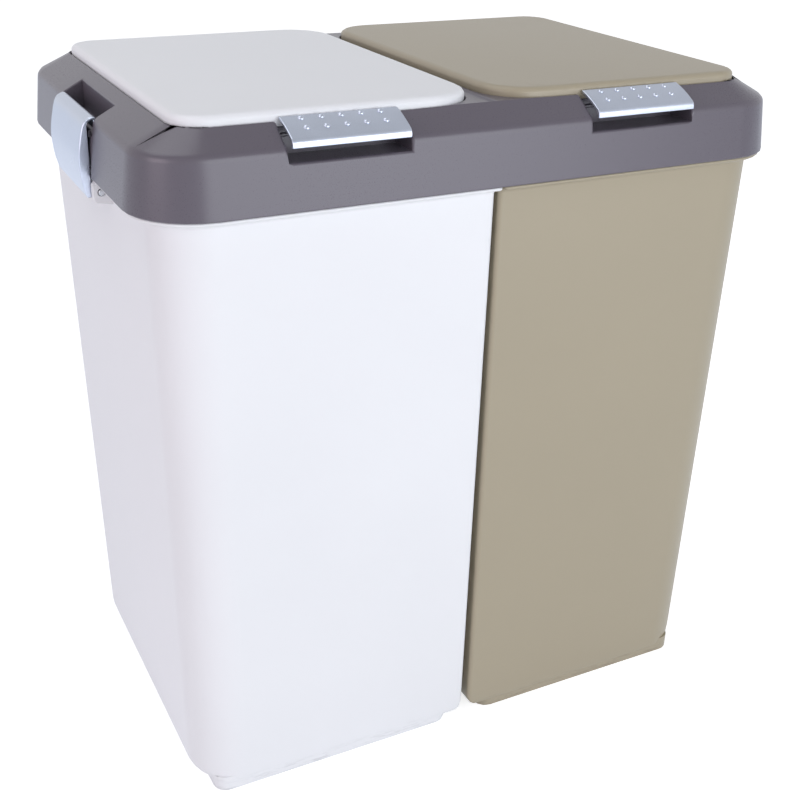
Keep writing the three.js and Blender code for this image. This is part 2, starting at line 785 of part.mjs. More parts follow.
/** Lug under the plate that turns on the pin, with the heel that swings at the keeper. */
function makePlateLug(side) {
  const centre = lidCentre + (side * lugSpread) / 2;
  const span = [centre - lugWidth / 2, centre + lugWidth / 2];
  const heelZ = platePinZ - heelDepth;
  const noseY = notchBack - keeperReach - keeperGap;
  return joined([
    barX(lugRadius, span, platePinY, platePinZ),
    block(span, [platePinY - lugRadius, platePinY + heelThickness / 2], [platePinZ, frameTop]),
    alongX([
      [platePinY - heelThickness / 2, platePinZ],
      [platePinY - heelThickness / 2, heelZ],
      [noseY - 0.6, heelZ],
      [noseY, heelZ + 0.6],
      [noseY, heelZ + keeperHeight / 2],
      [platePinY + heelThickness / 2, heelZ + keeperHeight + heelThickness],
      [platePinY + heelThickness / 2, platePinZ],
    ], span),
  ]);
}

function makePlate() {
  const line = plateLine();
  const shell = alongX(strip(line, plateThickness), [lidCentre - plateWidth / 2, lidCentre + plateWidth / 2]);
  const bore = barX(
    platePinRadius + pinGap,
    [lidCentre - lugSpread, lidCentre + lugSpread],
    platePinY,
    platePinZ,
    10,
  );
  return joined([shell, makeDots(line), makePlateLug(-1), makePlateLug(1)]).subtract(bore);
}

// ---------------------------------------------------------------------------
// Side latches
// ---------------------------------------------------------------------------

/** Outer line of the latch's section, from its lower end up over the hook. */
function latchLine() {
  const back = halfWidth - hookInset;
  const over = smooth([
    [halfWidth + latchBulge * 0.4, latchBottom],
    [halfWidth + latchBulge * 0.8, latchBottom + latchHeight * 0.17],
    [halfWidth + latchBulge, latchBottom + latchHeight * 0.41],
    [halfWidth + latchBulge * 0.92, latchBottom + latchHeight * 0.57],
    [halfWidth + latchBulge * 0.65, latchBottom + latchHeight * 0.73],
    [halfWidth + latchBulge * 0.31, latchBottom + latchHeight * 0.885],
    [halfWidth - latchBulge * 0.12, latchBottom + latchHeight * 0.965],
    [back + hookRound, latchTop],
  ], 15);
  const corner = bend([[back + hookRound, latchTop], [back, latchTop], [back, latchTop - hookRound]], 5);
  return [...over, ...corner.slice(1), [back, latchTop - hookDepth]];
}

/** Side flange of the latch with the eye that turns on the pin. */
function makeFlange(line, span) {
  const edge = line.filter(([x]) => x > halfWidth);
  const chord = halfWidth - rimSetback + earGap;
  const clearZ = latchPinZ + eyeRadius;
  return alongY([
    ...edge,
    [chord, edge.at(-1)[1] - latchThickness],
    [chord, clearZ + earGap],
    [latchPinX, clearZ],
    [latchPinX, latchPinZ - eyeRadius],
  ], span).add(barY(eyeRadius, span, latchPinX, latchPinZ));
}

function makeLatch() {
  const half = latchWidth / 2;
  const line = latchLine();
  const shell = alongY(strip(line, latchThickness), [-half, half]);
  return joined([
    shell,
    makeFlange(line, [half - flangeWidth, half]),
    makeFlange(line, [-half, -half + flangeWidth]),
  ]).subtract(barY(latchPinRadius + pinGap, [-half - overcut, half + overcut], latchPinX, latchPinZ));
}

/** Steel rod through the ears and the latch's eyes, with rounded ends. */
function makeLatchPin() {
  const end = earFar + seatGap;
  const round = latchPinRadius * 0.4;
  const geometry = new THREE.LatheGeometry([
    new THREE.Vector2(0, -end - round),
    new THREE.Vector2(latchPinRadius * 0.6, -end - round * 0.75),
    new THREE.Vector2(latchPinRadius, -end),
    new THREE.Vector2(latchPinRadius, end),
    new THREE.Vector2(latchPinRadius * 0.6, end + round * 0.75),
    new THREE.Vector2(0, end + round),
  ], 16);
  geometry.translate(latchPinX, 0, latchPinZ);
  return solid(geometry);
}

// ---------------------------------------------------------------------------
// The assembly
// ---------------------------------------------------------------------------

const bin = new THREE.Group();

function addPiece(name, body, [color, roughness, metalness]) {
  const material = new THREE.MeshStandardMaterial({ color, roughness, metalness });
  const mesh = new THREE.Mesh(toGeometry(body), material);
  mesh.name = name;
  bin.add(mesh);
}

const white = [0xf1f0ee, 0.42, 0];
const tan = [0xb5aa8e, 0.42, 0];
const grey = [0x6d6568, 0.45, 0];
const silver = [0xb9bfca, 0.32, 0.85];
const steel = [0xa8abae, 0.28, 1];

const bucket = makeBucket();
addPiece('left_bucket', mirrored(bucket), white);
addPiece('right_bucket', bucket, tan);
addPiece('top_frame', makeFrame(), grey);

const lid = makeLid();
addPiece('left_lid', mirrored(lid), white);
addPiece('right_lid', lid, tan);

const hingePinHalf = hingeHalf;
for (const [place, centre] of [['inner', knuckleCentres[0]], ['outer', knuckleCentres[1]]]) {
  const pin = barX(lidPinRadius, [centre - hingePinHalf, centre + hingePinHalf], hingeY, hingeZ, 12);
  addPiece(`left_lid_pin_${place}`, mirrored(pin), steel);
  addPiece(`right_lid_pin_${place}`, pin, steel);
}

const plate = makePlate();
addPiece('left_catch_plate', mirrored(plate), silver);
addPiece('right_catch_plate', plate, silver);

const platePinHalf = lugSpread / 2 + lugWidth * 1.5 + sideGap;
const platePin = barX(platePinRadius, [lidCentre - platePinHalf, lidCentre + platePinHalf], platePinY, platePinZ, 10);
addPiece('left_plate_pin', mirrored(platePin), steel);
addPiece('right_plate_pin', platePin, steel);

const latch = makeLatch();
addPiece('left_latch', mirrored(latch), silver);
addPiece('right_latch', latch, silver);

const latchPin = makeLatchPin();
addPiece('left_latch_pin', mirrored(latchPin), steel);
addPiece('right_latch_pin', latchPin, steel);

export default bin;
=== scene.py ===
from math import cos, pi, radians, sin

import bmesh
import bpy
from mathutils import Matrix, Vector
from mathutils.bvhtree import BVHTree


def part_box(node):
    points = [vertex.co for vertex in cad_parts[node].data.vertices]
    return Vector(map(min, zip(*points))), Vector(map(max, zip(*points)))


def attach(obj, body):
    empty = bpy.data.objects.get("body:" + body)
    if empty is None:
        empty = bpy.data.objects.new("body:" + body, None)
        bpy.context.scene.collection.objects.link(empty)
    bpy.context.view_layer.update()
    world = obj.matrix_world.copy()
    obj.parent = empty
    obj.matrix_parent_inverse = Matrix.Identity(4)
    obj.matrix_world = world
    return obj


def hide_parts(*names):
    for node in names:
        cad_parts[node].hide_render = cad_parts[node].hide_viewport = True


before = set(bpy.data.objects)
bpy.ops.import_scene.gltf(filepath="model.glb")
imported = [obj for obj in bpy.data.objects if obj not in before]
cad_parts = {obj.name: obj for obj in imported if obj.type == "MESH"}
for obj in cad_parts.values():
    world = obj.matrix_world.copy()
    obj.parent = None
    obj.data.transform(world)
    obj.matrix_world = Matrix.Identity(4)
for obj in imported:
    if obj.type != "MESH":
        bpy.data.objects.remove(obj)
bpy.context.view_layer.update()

# ---- The buckets ----
# Two deep buckets moulded in polypropylene, one white and one tan, with a satin skin, a flat rim
# and a shallow foot. Each carries two ears for the pin of its latch.

MM = 0.001
HAIR = 0.01 * MM  # less than any real step of a moulding
WELD = 0.03 * MM  # points closer than this are one
FLAT_WITHIN = 0.6  # degrees
SHARP = 35  # degrees between two faces, past which their edge is rounded
SHADED_AS_ONE = 40  # degrees between two faces, up to which they shade smoothly
BUCKET_EDGE_ROUND = 0.5 * MM


def whole_faces(node):
    """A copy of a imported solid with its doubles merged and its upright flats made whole."""
    bm = bmesh.new()
    bm.from_mesh(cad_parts[node].data)
    bmesh.ops.remove_doubles(bm, verts=bm.verts, dist=WELD)
    upright = [e for e in bm.edges if all(abs(f.normal.z) < 0.99 for f in e.link_faces)]
    bmesh.ops.dissolve_limit(
        bm, angle_limit=radians(FLAT_WITHIN), verts=bm.verts, edges=upright,
        use_dissolve_boundaries=False,
    )
    return bm


def roomy(edge, width):
    """Whether the edges that leave this one sideways are long enough for a rounding."""
    run = (edge.verts[1].co - edge.verts[0].co).normalized()
    for other in {e for v in edge.verts for e in v.link_edges} - {edge}:
        way = (other.verts[1].co - other.verts[0].co).normalized()
        if abs(way.dot(run)) < 0.6 and other.calc_length() < 2.1 * width:
            return False
    return True


def rounded(bm, edges, width, steps):
    """Rounds the edges as the mould's own radii do, where there is room."""
    bmesh.ops.bevel(
        bm, geom=[e for e in edges if roomy(e, width)], offset=width, offset_type="OFFSET",
        segments=steps, profile=0.5, affect="EDGES", clamp_overlap=False, material=-1,
    )
    bmesh.ops.dissolve_degenerate(bm, dist=HAIR, edges=bm.edges)


def sharp_edges(bm, sharper_than):
    """The outer edges whose two faces meet at more than an angle in degrees."""
    return [
        e for e in bm.edges
        if len(e.link_faces) == 2 and e.is_convex and e.calc_face_angle(0) > radians(sharper_than)
    ]


def moulding(node, width, steps=3, sharper_than=SHARP):
    """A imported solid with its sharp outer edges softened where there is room."""
    bm = whole_faces(node)
    rounded(bm, sharp_edges(bm, sharper_than), width, steps)
    return bm


def piece(bm, name, body, slot, material, *nodes):
    """Makes the finished mesh a smooth-shaded object that rides on a body and stands for nodes."""
    for face in bm.faces:
        face.smooth = True
    for edge in bm.edges:
        edge.smooth = len(edge.link_faces) != 2 or edge.calc_face_angle(0) < radians(SHADED_AS_ONE)
    mesh = bpy.data.meshes.new(name)
    bm.to_mesh(mesh)
    bm.free()
    mesh.materials.append(material)
    obj = bpy.data.objects.new(name, mesh)
    bpy.context.scene.collection.objects.link(obj)
    weighted = obj.modifiers.new("even shading", "WEIGHTED_NORMAL")
    weighted.keep_sharp = True
    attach(obj, body)
    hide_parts(*nodes)
    return obj


def wire(tree, kind, sockets=(), **settings):
    """Adds a shader node, and joins or fills its sockets, which are given by name or place."""
    node = tree.nodes.new(kind)
    for key, value in settings.items():
        setattr(node, key, value)
    for name, value in dict(sockets).items():
        if isinstance(value, bpy.types.NodeSocket):
            tree.links.new(value, node.inputs[name])
        else:
            node.inputs[name].default_value = value
    return node


def effect(name, inputs, outputs):
    """An empty shader node group with float inputs and the outputs given as name and kind."""
    tree = bpy.data.node_groups.new(name, "ShaderNodeTree")
    for label, value in inputs.items():
        socket = tree.interface.new_socket(label, in_out="INPUT", socket_type="NodeSocketFloat")
        socket.default_value = value
    for label, kind in outputs.items():
        tree.interface.new_socket(label, in_out="OUTPUT", socket_type=kind)
    return tree, tree.nodes.new("NodeGroupInput"), tree.nodes.new("NodeGroupOutput")


NOISE_SPREAD = {"From Min": 0.3, "From Max": 0.7}  # most of a noise lies between these

# The skin of a moulded part: a fine spark-eroded grain, slow waves of flow and slight sinks.
skin, given, made = effect(
    "moulded skin",
    {"Grain per metre": 1400.0, "Grain depth": 0.06, "Flow": 0.03},
    {"Shade": "NodeSocketFloat", "Gloss": "NodeSocketFloat", "Normal": "NodeSocketVector"},
)
where = wire(skin, "ShaderNodeTexCoord")
slow = wire(skin, "ShaderNodeTexNoise", {
    "Vector": where.outputs["Object"], "Scale": 7.0, "Detail": 2.0, "Roughness": 0.5,
})
grain = wire(skin, "ShaderNodeTexNoise", {
    "Vector": where.outputs["Object"], "Scale": given.outputs["Grain per metre"],
    "Detail": 3.0, "Roughness": 0.6,
})
centred = wire(skin, "ShaderNodeMath", {0: slow.outputs["Fac"], 1: 0.5}, operation="SUBTRACT")
swing = wire(skin, "ShaderNodeMath", {0: centred.outputs[0], 1: given.outputs["Flow"]},
             operation="MULTIPLY")
shade = wire(skin, "ShaderNodeMath", {0: swing.outputs[0], 1: 1.0}, operation="ADD")
fleck = wire(skin, "ShaderNodeMapRange", {
    "Value": grain.outputs["Fac"], **NOISE_SPREAD, "To Min": -0.04, "To Max": 0.04,
})
gloss = wire(skin, "ShaderNodeMath", {0: swing.outputs[0], 1: fleck.outputs[0]},
             operation="ADD")
waves = wire(skin, "ShaderNodeBump", {
    "Height": slow.outputs["Fac"], "Strength": 0.12, "Distance": 1.2 * MM,
})
pitted = wire(skin, "ShaderNodeBump", {
    "Height": grain.outputs["Fac"], "Strength": given.outputs["Grain depth"],
    "Distance": 0.3 * MM, "Normal": waves.outputs["Normal"],
})
skin.links.new(shade.outputs[0], made.inputs["Shade"])
skin.links.new(gloss.outputs[0], made.inputs["Gloss"])
skin.links.new(pitted.outputs["Normal"], made.inputs["Normal"])

# Edges that hands rub: a mask that is 1 on a convex edge and breaks up along it.
rubbed, given, made = effect(
    "rubbed edges", {"Width": 1.2 * MM, "Amount": 0.5}, {"Mask": "NodeSocketFloat"},
)
where = wire(rubbed, "ShaderNodeTexCoord")
flat = wire(rubbed, "ShaderNodeNewGeometry")
softened = wire(rubbed, "ShaderNodeBevel", {"Radius": given.outputs["Width"]}, samples=4)
along = wire(rubbed, "ShaderNodeVectorMath", {
    0: flat.outputs["Normal"], 1: softened.outputs["Normal"],
}, operation="DOT_PRODUCT")
turned = wire(rubbed, "ShaderNodeMapRange", {
    "Value": along.outputs["Value"], "From Min": 0.99, "From Max": 0.86,
})
patchy = wire(rubbed, "ShaderNodeTexNoise", {
    "Vector": where.outputs["Object"], "Scale": 45.0, "Detail": 5.0, "Roughness": 0.65,
})
broken = wire(rubbed, "ShaderNodeMapRange", {
    "Value": patchy.outputs["Fac"], "From Min": 0.38, "From Max": 0.62,
})
worn = wire(rubbed, "ShaderNodeMath", {0: turned.outputs[0], 1: broken.outputs[0]},
            operation="MULTIPLY")
mask = wire(rubbed, "ShaderNodeMath", {0: worn.outputs[0], 1: given.outputs["Amount"]},
            operation="MULTIPLY", use_clamp=True)
rubbed.links.new(mask.outputs[0], made.inputs["Mask"])

# The dull marks that a hard floor leaves on the lowest centimetre.
scuffed, given, made = effect(
    "floor scuffs", {"Height": 14 * MM, "Amount": 0.4}, {"Mask": "NodeSocketFloat"},
)
where = wire(scuffed, "ShaderNodeTexCoord")
split = wire(scuffed, "ShaderNodeSeparateXYZ", {"Vector": where.outputs["Object"]})
low = wire(scuffed, "ShaderNodeMapRange", {
    "Value": split.outputs["Z"], "From Min": given.outputs["Height"], "From Max": 0.0,
})
drawn_out = wire(scuffed, "ShaderNodeMapping", {
    "Vector": where.outputs["Object"], "Scale": (1.0, 1.0, 6.0),
})
marks = wire(scuffed, "ShaderNodeTexNoise", {
    "Vector": drawn_out.outputs[0], "Scale": 60.0, "Detail": 8.0, "Roughness": 0.7,
})
kept = wire(scuffed, "ShaderNodeMapRange", {
    "Value": marks.outputs["Fac"], "From Min": 0.5, "From Max": 0.66,
})
both = wire(scuffed, "ShaderNodeMath", {0: low.outputs[0], 1: kept.outputs[0]},
            operation="MULTIPLY")
mask = wire(scuffed, "ShaderNodeMath", {0: both.outputs[0], 1: given.outputs["Amount"]},
            operation="MULTIPLY", use_clamp=True)
scuffed.links.new(mask.outputs[0], made.inputs["Mask"])


MIX_A, MIX_B, MIX_COLOUR = 6, 7, 2  # the places of a Mix node's colour sockets
FLOW_MARKS = 0.05
RUBBED_SMOOTHER = -0.12  # what rubbing adds to the roughness
SCUFFED_ROUGHER = 0.3
SCUFFED_DARKER = 0.62  # what a scuff leaves of the colour


def plastic(name, colour, worn_colour, rough, wear, grain_depth=0.06, scuffs=0.0):
    """Moulded polypropylene in one colour, with its grain, flow marks, rubbed edges and scuffs."""
    material = bpy.data.materials.new(name)
    material.use_nodes = True
    tree = material.node_tree
    shader = tree.nodes["Principled BSDF"]
    shader.inputs["IOR"].default_value = 1.5
    surface = wire(tree, "ShaderNodeGroup", {
        "Grain depth": grain_depth, "Flow": FLOW_MARKS,
    }, node_tree=skin)
    edges = wire(tree, "ShaderNodeGroup", {"Amount": wear}, node_tree=rubbed)
    foot = wire(tree, "ShaderNodeGroup", {"Amount": scuffs}, node_tree=scuffed)
    tinted = wire(tree, "ShaderNodeVectorMath", {
        0: colour, "Scale": surface.outputs["Shade"],
    }, operation="SCALE")
    lighter = wire(tree, "ShaderNodeMix", {
        "Factor": edges.outputs["Mask"], MIX_A: tinted.outputs[0], MIX_B: (*worn_colour, 1),
    }, data_type="RGBA")
    dulled = wire(tree, "ShaderNodeMix", {
        "Factor": foot.outputs["Mask"], MIX_A: lighter.outputs[MIX_COLOUR],
        MIX_B: (*(SCUFFED_DARKER * part for part in colour), 1),
    }, data_type="RGBA")
    tree.links.new(dulled.outputs[MIX_COLOUR], shader.inputs["Base Color"])
    base = wire(tree, "ShaderNodeMath", {0: surface.outputs["Gloss"], 1: rough},
                operation="ADD")
    polish = wire(tree, "ShaderNodeMath", {
        0: edges.outputs["Mask"], 1: RUBBED_SMOOTHER, 2: base.outputs[0],
    }, operation="MULTIPLY_ADD")
    ground = wire(tree, "ShaderNodeMath", {
        0: foot.outputs["Mask"], 1: SCUFFED_ROUGHER, 2: polish.outputs[0],
    }, operation="MULTIPLY_ADD")
    tree.links.new(ground.outputs[0], shader.inputs["Roughness"])
    tree.links.new(surface.outputs["Normal"], shader.inputs["Normal"])
    return material


WHITE, WHITE_WORN = (0.8, 0.8, 0.815), (0.86, 0.86, 0.865)
TAN, TAN_WORN = (0.36, 0.31, 0.22), (0.45, 0.4, 0.3)
white_plastic = plastic("white polypropylene", WHITE, WHITE_WORN, rough=0.4, wear=0.4,
                        scuffs=0.7)
tan_plastic = plastic("tan polypropylene", TAN, TAN_WORN, rough=0.4, wear=0.4, scuffs=0.7)

piece(moulding("left_bucket", BUCKET_EDGE_ROUND), "white_bucket_shell", "bin", "white_plastic",
      white_plastic, "left_bucket")
piece(moulding("right_bucket", BUCKET_EDGE_ROUND), "tan_bucket_shell", "bin", "tan_plastic",
      tan_plastic, "right_bucket")

# ---- The latch pins ----
# Drawn steel rods with rounded ends, pushed through the ears at the sides of the buckets. Faint
# drawing lines run along them.

LATCH_PIN_END_ROUND = 1.0 * MM
STEEL = (0.5, 0.51, 0.53)
LINES_ACROSS, LINES_ALONG = 3500, 30  # marks to a metre, across a rod and along it


def rod(node, axis, end_round):
    """A round rod that fills the node's box, with its ends rounded over."""
    low, high = (Vector(corner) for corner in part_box(node))
    size = high - low
    bm = bmesh.new()
    bmesh.ops.create_cone(
        bm, cap_ends=True, segments=40, depth=size["XYZ".index(axis)],
        radius1=size.z / 2, radius2=size.z / 2,
    )
    rounded(bm, sharp_edges(bm, SHARP), end_round, steps=4)
    bmesh.ops.rotate(
        bm, verts=bm.verts, matrix=Matrix.Rotation(pi / 2, 3, "Y" if axis == "X" else "X"),
    )
    bmesh.ops.translate(bm, verts=bm.verts, vec=(low + high) / 2)
    return bm


def drawn_steel(name, lines):
    """Bright drawn steel, with fine lines stretched along one axis."""
    material = bpy.data.materials.new(name)
    material.use_nodes = True
    tree = material.node_tree
    shader = tree.nodes["Principled BSDF"]
    shader.inputs["Metallic"].default_value = 1.0
    place = wire(tree, "ShaderNodeTexCoord")
    stretched = wire(tree, "ShaderNodeMapping", {
        "Vector": place.outputs["Object"], "Scale": lines,
    })
    streaks = wire(tree, "ShaderNodeTexNoise", {
        "Vector": stretched.outputs[0], "Scale": 1.0, "Detail": 3.0, "Roughness": 0.6,
    })
    tone = wire(tree, "ShaderNodeMapRange", {
        "Value": streaks.outputs["Fac"], **NOISE_SPREAD, "To Min": 0.88, "To Max": 1.06,
    })
    tinted = wire(tree, "ShaderNodeVectorMath", {
        0: STEEL, "Scale": tone.outputs[0],
    }, operation="SCALE")
    tree.links.new(tinted.outputs[0], shader.inputs["Base Color"])
    rough = wire(tree, "ShaderNodeMapRange", {
        "Value": streaks.outputs["Fac"], **NOISE_SPREAD, "To Min": 0.22, "To Max": 0.38,
    })
    tree.links.new(rough.outputs[0], shader.inputs["Roughness"])
    grooves = wire(tree, "ShaderNodeBump", {
        "Height": streaks.outputs["Fac"], "Strength": 0.15, "Distance": 0.1 * MM,
    })
    tree.links.new(grooves.outputs["Normal"], shader.inputs["Normal"])
    return material


steel_along_y = drawn_steel("drawn steel, front to back",
                            (LINES_ACROSS, LINES_ALONG, LINES_ACROSS))
for side in ("left", "right"):
    piece(rod(f"{side}_latch_pin", "Y", LATCH_PIN_END_ROUND), f"{side}_latch_rod", "bin", "steel",
          steel_along_y, f"{side}_latch_pin")

# ---- The top frame ----
# One grey moulding that sits on both rims. It has a deep skirt, a sloping shoulder, a recess for
# each lid, two finger notches with rounded mouths and a pocket for each latch.

NOTCH_SIDES = (72.85 * MM, 161.65 * MM)
NOTCH_FLOOR = 517.0 * MM
NOTCH_BACK = -152.0 * MM  # edges in front of this belong to the notch's mouth
NOTCH_SILL = -170.0 * MM  # and on the floor only those in front of this
NOTCH_MOUTH_ROUND = 2.0 * MM
SKIRT_FOOT = 485.0 * MM
POCKET_INSIDE = 230.0 * MM
POCKET_ENDS = (47.0 * MM, 49.0 * MM)  # the end walls of a latch pocket lie between these
FRAME_EDGE_ROUND = 1.0 * MM
NEAR = 0.05 * MM
GREY, GREY_WORN = (0.108, 0.094, 0.115), (0.2, 0.185, 0.205)

grey_plastic = plastic("grey polypropylene", GREY, GREY_WORN, rough=0.3, wear=0.5,
                       grain_depth=0.02)

# The mouths of the finger notches: the front edges of their sides and floors.
bm = whole_faces("top_frame")
mouth = []
for edge in sharp_edges(bm, SHARP):
    ends = [v.co for v in edge.verts]
    on_side = any(all(abs(abs(p.x) - at) < NEAR for p in ends) for at in NOTCH_SIDES)
    on_floor = all(abs(p.z - NOTCH_FLOOR) < NEAR and p.y < NOTCH_SILL for p in ends)
    if (on_side or on_floor) and max(p.y for p in ends) < NOTCH_BACK:
        mouth.append(edge)
rounded(bm, mouth, NOTCH_MOUTH_ROUND, steps=4)

# The other edges that show: those of faces that look up, the skirt's foot and the pockets' ends.
outer = []
for edge in sharp_edges(bm, SHARP):
    faces_up = any(f.normal.z > 0.3 for f in edge.link_faces)
    at_foot = all(v.co.z < SKIRT_FOOT + 2 * NEAR for v in edge.verts) and any(
        f.normal.dot(edge.verts[0].co) > 0 and abs(f.normal.z) < 0.5 for f in edge.link_faces
    )
    in_pocket = all(
        abs(v.co.x) > POCKET_INSIDE and POCKET_ENDS[0] < abs(v.co.y) < POCKET_ENDS[1]
        for v in edge.verts
    )
    if faces_up or at_foot or in_pocket:
        outer.append(edge)
rounded(bm, outer, FRAME_EDGE_ROUND, steps=3)
piece(bm, "top_frame_moulding", "bin", "grey_plastic", grey_plastic, "top_frame")

# ---- The lid hinge pins ----
# Short drawn steel pins at the back of the frame, two to a lid, held between the cheeks of their
# seats.

HINGE_PIN_END_ROUND = 0.3 * MM

steel_along_x = drawn_steel("drawn steel, side to side",
                            (LINES_ALONG, LINES_ACROSS, LINES_ACROSS))
for side in ("left", "right"):
    for place in ("inner", "outer"):
        piece(rod(f"{side}_lid_pin_{place}", "X", HINGE_PIN_END_ROUND),
              f"{side}_hinge_rod_{place}", "bin", "steel", steel_along_x,
              f"{side}_lid_pin_{place}")

# ---- The lids ----
# Two moulded lids with a soft shoulder and a slightly crowned top, in the colours of their
# buckets. Ribs and a locating tongue are moulded underneath.

LID_EDGE_ROUND = 0.35 * MM
LID_SHARP = 50  # degrees
LID_CROWN = 1.4 * MM
LID_CROWN_CUTS = (9, 13)  # strips of the net from side to side and from front to back


def crowned_lid(node):
    """The lid's moulding, with its flat top cut into a net and raised towards the middle."""
    bm = moulding(node, LID_EDGE_ROUND, steps=2, sharper_than=LID_SHARP)
    top = max(v.co.z for v in bm.verts)

    def lid_top():
        return [f for f in bm.faces if f.normal.z > 0.999 and f.verts[0].co.z > top - HAIR]

    rim = [v.co for f in lid_top() for v in f.verts]
    low = Vector((min(p.x for p in rim), min(p.y for p in rim), 0))
    high = Vector((max(p.x for p in rim), max(p.y for p in rim), 0))
    for axis, cuts in enumerate(LID_CROWN_CUTS):
        for cut in range(1, cuts):
            at = low.lerp(high, cut / cuts)
            at.z = top
            across = Vector((0, 0, 0))
            across[axis] = 1
            faces = lid_top()
            around = {e for f in faces for e in f.edges} | {v for f in faces for v in f.verts}
            bmesh.ops.bisect_plane(bm, geom=[*faces, *around], plane_co=at, plane_no=across,
                                   dist=HAIR)
    centre, half = (low + high) / 2, (high - low) / 2
    for vert in {v for f in lid_top() for v in f.verts}:
        across_fall, along_fall = (
            1 - ((vert.co[i] - centre[i]) / half[i]) ** 2 for i in (0, 1)
        )
        vert.co.z += LID_CROWN * across_fall * along_fall
    return bm


piece(crowned_lid("left_lid"), "white_lid_moulding", "left_lid", "white_plastic",
      white_plastic, "left_lid")
piece(crowned_lid("right_lid"), "tan_lid_moulding", "right_lid", "tan_plastic",
      tan_plastic, "right_lid")

# ---- The catch plates and their pins ----
# Silver-lacquered plates that fall over the front of each lid and end in a lip for the fingers,
# with two rows of raised dots. Each turns on a thin steel pin between lugs on its lid.

PLATE_CENTRE = 117.25 * MM
PLATE_EDGE_ROUND = 0.6 * MM
PLATE_PIN_END_ROUND = 0.2 * MM
DOT_RADIUS = 2.2 * MM
DOT_HEIGHT = 1.25 * MM
DOT_ROWS = (-158.1 * MM, -167.7 * MM)
DOT_COLUMNS = (-2, -1, 0, 1, 2)
DOT_PITCH = 14.2 * MM
BESIDE_DOT = 7 * MM  # about half-way to the next dot, where the plate is bare
ABOVE_PLATE = 0.6
SILVER, SILVER_WORN = (0.56, 0.6, 0.69), (0.8, 0.82, 0.85)

# The lacquer: fine metal flake that catches light in specks, in a slightly cloudy film.
flake, given, made = effect(
    "lacquer flake", {"Flakes per metre": 2600.0, "Depth": 0.05},
    {"Shade": "NodeSocketFloat", "Gloss": "NodeSocketFloat", "Normal": "NodeSocketVector"},
)
where = wire(flake, "ShaderNodeTexCoord")
specks = wire(flake, "ShaderNodeTexVoronoi", {
    "Vector": where.outputs["Object"], "Scale": given.outputs["Flakes per metre"],
})
cloud = wire(flake, "ShaderNodeTexNoise", {
    "Vector": where.outputs["Object"], "Scale": 30.0, "Detail": 4.0, "Roughness": 0.55,
})
speck_tone = wire(flake, "ShaderNodeMapRange", {
    "Value": specks.outputs["Distance"], "From Max": 0.7, "To Min": 1.05, "To Max": 0.94,
})
cloud_tone = wire(flake, "ShaderNodeMapRange", {
    "Value": cloud.outputs["Fac"], **NOISE_SPREAD, "To Min": 0.97, "To Max": 1.03,
})
tone = wire(flake, "ShaderNodeMath", {0: speck_tone.outputs[0], 1: cloud_tone.outputs[0]},
            operation="MULTIPLY")
film = wire(flake, "ShaderNodeMapRange", {
    "Value": cloud.outputs["Fac"], **NOISE_SPREAD, "To Min": -0.04, "To Max": 0.05,
})
lumps = wire(flake, "ShaderNodeBump", {
    "Height": specks.outputs["Distance"], "Strength": given.outputs["Depth"],
    "Distance": 0.1 * MM,
})
flake.links.new(tone.outputs[0], made.inputs["Shade"])
flake.links.new(film.outputs[0], made.inputs["Gloss"])
flake.links.new(lumps.outputs["Normal"], made.inputs["Normal"])

silver = bpy.data.materials.new("silver lacquer")
silver.use_nodes = True
tree = silver.node_tree
shader = tree.nodes["Principled BSDF"]
shader.inputs["Metallic"].default_value = 0.9
coat = wire(tree, "ShaderNodeGroup", node_tree=flake)
edges = wire(tree, "ShaderNodeGroup", {"Amount": 0.5, "Width": 0.8 * MM}, node_tree=rubbed)
tinted = wire(tree, "ShaderNodeVectorMath", {
    0: SILVER, "Scale": coat.outputs["Shade"],
}, operation="SCALE")
brighter = wire(tree, "ShaderNodeMix", {
    "Factor": edges.outputs["Mask"], MIX_A: tinted.outputs[0], MIX_B: (*SILVER_WORN, 1),
}, data_type="RGBA")
tree.links.new(brighter.outputs[MIX_COLOUR], shader.inputs["Base Color"])
rough = wire(tree, "ShaderNodeMath", {0: coat.outputs["Gloss"], 1: 0.3}, operation="ADD")
tree.links.new(rough.outputs[0], shader.inputs["Roughness"])
tree.links.new(coat.outputs["Normal"], shader.inputs["Normal"])


def catch_plate(node, centre_x):
    """The plate's moulding, with round domes set on its rows of dots."""
    bm = moulding(node, PLATE_EDGE_ROUND)
    surface = BVHTree.FromBMesh(bm)
    down = Vector((0, 0, -1))
    for row in DOT_ROWS:
        for column in DOT_COLUMNS:
            at = Vector((centre_x + column * DOT_PITCH, row, ABOVE_PLATE))
            beside, normal = surface.ray_cast(at + Vector((BESIDE_DOT, 0, 0)), down)[:2]
            place = Vector((at.x, beside.y, beside.z))
            dome = bmesh.ops.create_uvsphere(bm, u_segments=20, v_segments=12, radius=1.0)["verts"]
            bmesh.ops.scale(bm, verts=dome, vec=(DOT_RADIUS, DOT_RADIUS, DOT_HEIGHT))
            lean = Vector((0, 0, 1)).rotation_difference(normal).to_matrix()
            bmesh.ops.rotate(bm, verts=dome, matrix=lean)
            bmesh.ops.translate(bm, verts=dome, vec=place)
    return bm


for side, centre_x in (("left", -PLATE_CENTRE), ("right", PLATE_CENTRE)):
    piece(rod(f"{side}_plate_pin", "X", PLATE_PIN_END_ROUND), f"{side}_plate_rod",
          f"{side}_lid", "steel", steel_along_x, f"{side}_plate_pin")
    piece(catch_plate(f"{side}_catch_plate", centre_x), f"{side}_catch_plate_pressing",
          f"{side}_catch_plate", "silver_finish", silver, f"{side}_catch_plate")

# ---- The side latches ----
# Curved silver-lacquered levers, hooked over the bead in each pocket of the frame and turning on
# the latch pins. Their edges are rounded and their ends have a flange with an eye.

LATCH_EDGE_ROUND = 0.9 * MM

